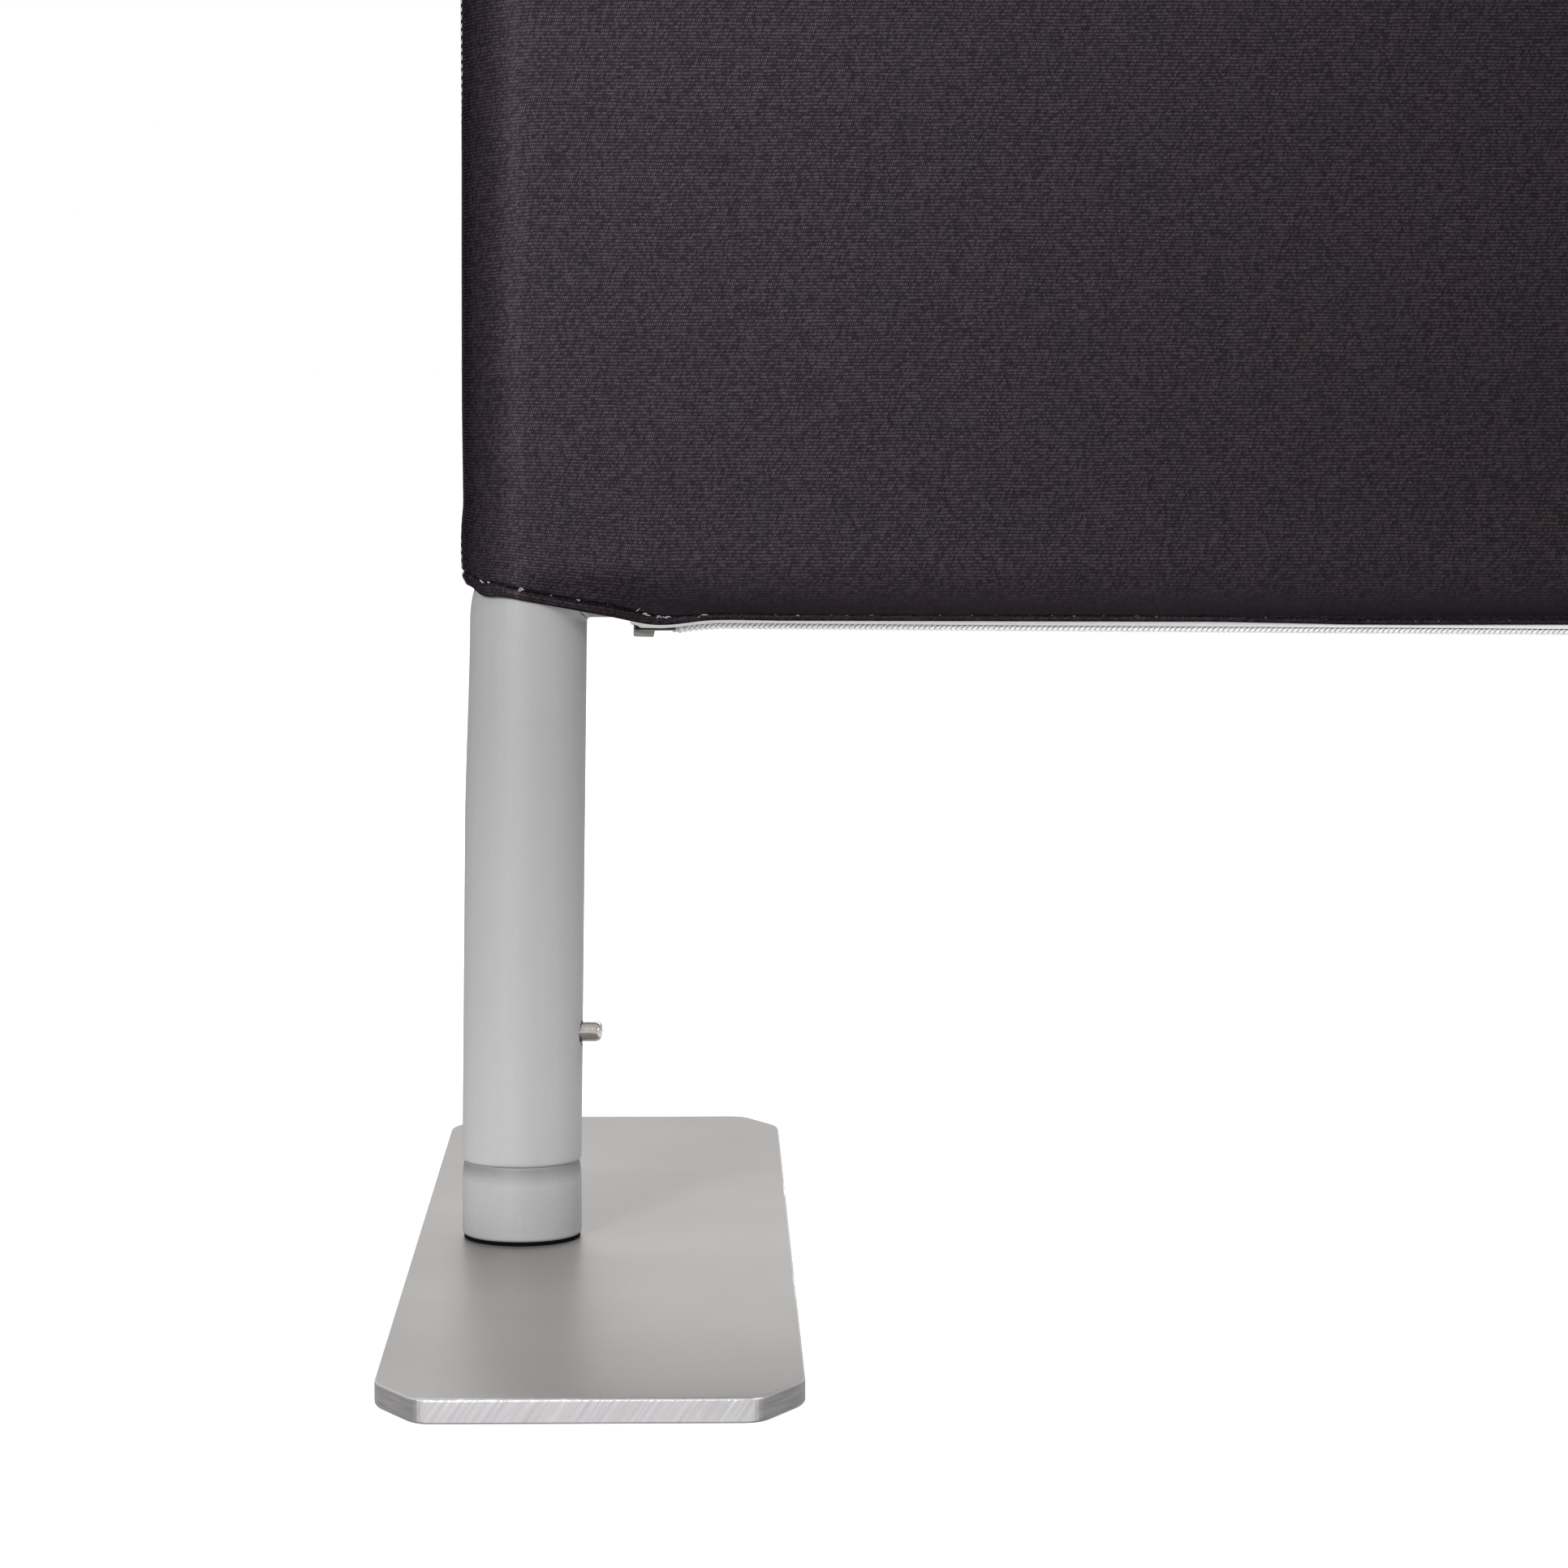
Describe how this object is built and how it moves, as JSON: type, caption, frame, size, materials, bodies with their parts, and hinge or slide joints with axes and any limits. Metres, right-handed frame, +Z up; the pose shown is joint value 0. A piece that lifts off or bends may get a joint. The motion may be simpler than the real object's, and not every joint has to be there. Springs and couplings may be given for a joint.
{
  "type": "cafe barrier",
  "caption": "Free-standing cafe barrier: a zipped stretch-fabric cover over a folded tube frame that plugs on to flat steel base plates.",
  "frame": {"origin": "on the floor, midway between the two feet, in the middle of the frame's depth", "axes": "+X along the barrier's width, -Y towards the front, +Z up"},
  "size_m": [1.528, 0.4, 1.0012],
  "materials": {
    "tube": "fine matt silver anodising",
    "sleeve": "plain drawn aluminium",
    "plate": "satin ground steel with sawn edges",
    "button": "bright nickel plate",
    "spring": "spring steel strip",
    "screw": "zinc plate",
    "rubber": "matt black",
    "fabric": "fine ribbed stretch knit",
    "tape": "white woven tape with a nylon coil",
    "slider": "dull nickel plate"
  },
  "bodies": {
    "frame": {"base_plate_left": "plate", "base_plate_right": "plate", "base_gasket_left": "rubber", "base_gasket_right": "rubber", "base_spigot_left": "tube", "base_spigot_right": "tube", "plate_screw_left": "screw", "plate_screw_right": "screw", "lower_corner_left": "tube", "lower_corner_right": "tube", "corner_stub_left": "tube", "corner_stub_right": "tube", "corner_sleeve_left": "sleeve", "corner_sleeve_right": "sleeve", "upper_corner_left": "tube", "upper_corner_right": "tube", "bottom_sleeve_left": "sleeve", "bottom_sleeve_right": "sleeve", "top_sleeve_left": "sleeve", "top_sleeve_right": "sleeve", "bottom_rivet_left": "button", "bottom_rivet_right": "button", "top_rivet_left": "button", "top_rivet_right": "button", "foot_spring_left": "spring", "foot_spring_right": "spring", "upright_spring_left": "spring", "upright_spring_right": "spring", "bottom_spring_left": "spring", "bottom_spring_right": "spring", "top_spring_left": "spring", "top_spring_right": "spring", "bottom_rail": "tube", "top_rail": "tube", "front_panel": "fabric", "back_panel": "fabric", "zip_tape_front": "tape", "zip_tape_back": "tape", "zip_stop_left": "tape", "zip_stop_right": "tape"},
    "foot_button_left": {"foot_button_left": "button"},
    "foot_button_right": {"foot_button_right": "button"},
    "upright_button_left": {"upright_button_left": "button"},
    "upright_button_right": {"upright_button_right": "button"},
    "bottom_button_left": {"bottom_button_left": "button"},
    "bottom_button_right": {"bottom_button_right": "button"},
    "top_button_left": {"top_button_left": "button"},
    "top_button_right": {"top_button_right": "button"},
    "zip_slider": {"zip_slider": "slider"}
  },
  "joints": [
    {"name": "foot_press_left", "type": "slide", "parent": "frame", "child": "foot_button_left", "axis": [-1, 0, 0], "range_m": [0, 0.007], "stiffness_N_per_m": 1500, "springref_m": -0.003, "deforming": ["foot_spring_left"]},
    {"name": "foot_press_right", "type": "slide", "parent": "frame", "child": "foot_button_right", "axis": [1, 0, 0], "range_m": [0, 0.007], "stiffness_N_per_m": 1500, "springref_m": -0.003, "deforming": ["foot_spring_right"]},
    {"name": "upright_press_left", "type": "slide", "parent": "frame", "child": "upright_button_left", "axis": [-1, 0, 0], "range_m": [0, 0.007], "stiffness_N_per_m": 1500, "springref_m": -0.003, "deforming": ["upright_spring_left"]},
    {"name": "upright_press_right", "type": "slide", "parent": "frame", "child": "upright_button_right", "axis": [1, 0, 0], "range_m": [0, 0.007], "stiffness_N_per_m": 1500, "springref_m": -0.003, "deforming": ["upright_spring_right"]},
    {"name": "bottom_press_left", "type": "slide", "parent": "frame", "child": "bottom_button_left", "axis": [0, 0, -1], "range_m": [0, 0.007], "stiffness_N_per_m": 1500, "springref_m": -0.003, "deforming": ["bottom_spring_left"]},
    {"name": "bottom_press_right", "type": "slide", "parent": "frame", "child": "bottom_button_right", "axis": [0, 0, -1], "range_m": [0, 0.007], "stiffness_N_per_m": 1500, "springref_m": -0.003, "deforming": ["bottom_spring_right"]},
    {"name": "top_press_left", "type": "slide", "parent": "frame", "child": "top_button_left", "axis": [0, 0, 1], "range_m": [0, 0.007], "stiffness_N_per_m": 1500, "springref_m": -0.003, "deforming": ["top_spring_left"]},
    {"name": "top_press_right", "type": "slide", "parent": "frame", "child": "top_button_right", "axis": [0, 0, 1], "range_m": [0, 0.007], "stiffness_N_per_m": 1500, "springref_m": -0.003, "deforming": ["top_spring_right"]},
    {"name": "zip_slide", "type": "slide", "parent": "frame", "child": "zip_slider", "axis": [1, 0, 0], "range_m": [0, 1.3992]}
  ]
}
